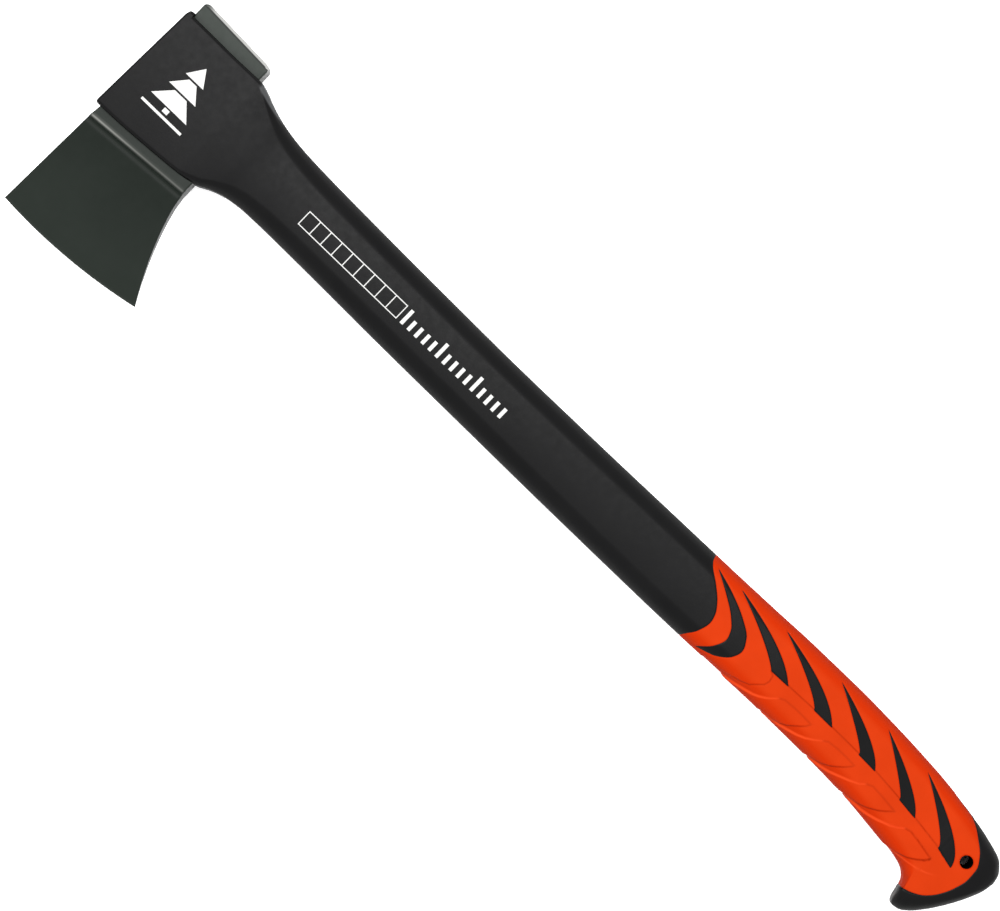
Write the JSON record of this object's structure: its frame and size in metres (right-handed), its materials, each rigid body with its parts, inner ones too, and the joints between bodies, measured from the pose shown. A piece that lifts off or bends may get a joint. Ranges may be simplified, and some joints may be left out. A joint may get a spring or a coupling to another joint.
{
  "type": "felling axe",
  "caption": "Felling axe with a flared steel blade and flat poll, a collared glass-fibre haft, a butt hook and a soft inlaid grip.",
  "frame": {"origin": "centre of the lanyard hole, halfway through the thickness of the haft", "axes": "+Y along the haft from the butt to the head, -X towards the cutting edge and +X towards the poll, +Z through the thickness; the axe lies on its side"},
  "size_m": [0.1468, 0.617, 0.032],
  "materials": {
    "head_steel": "dark grey-green low-friction coating, satin, worn to bare steel along the poll's chamfer",
    "core_glass_fibre": "pultruded glass fibre in resin, lengthwise grain",
    "haft_nylon": "black glass-filled nylon, fine moulded texture",
    "grip_rubber": "orange soft-touch thermoplastic rubber, matte"
  },
  "bodies": {
    "root": {"axe_head": "head_steel", "fibre_core": "core_glass_fibre", "haft": "haft_nylon", "grip": "grip_rubber"}
  },
  "joints": []
}
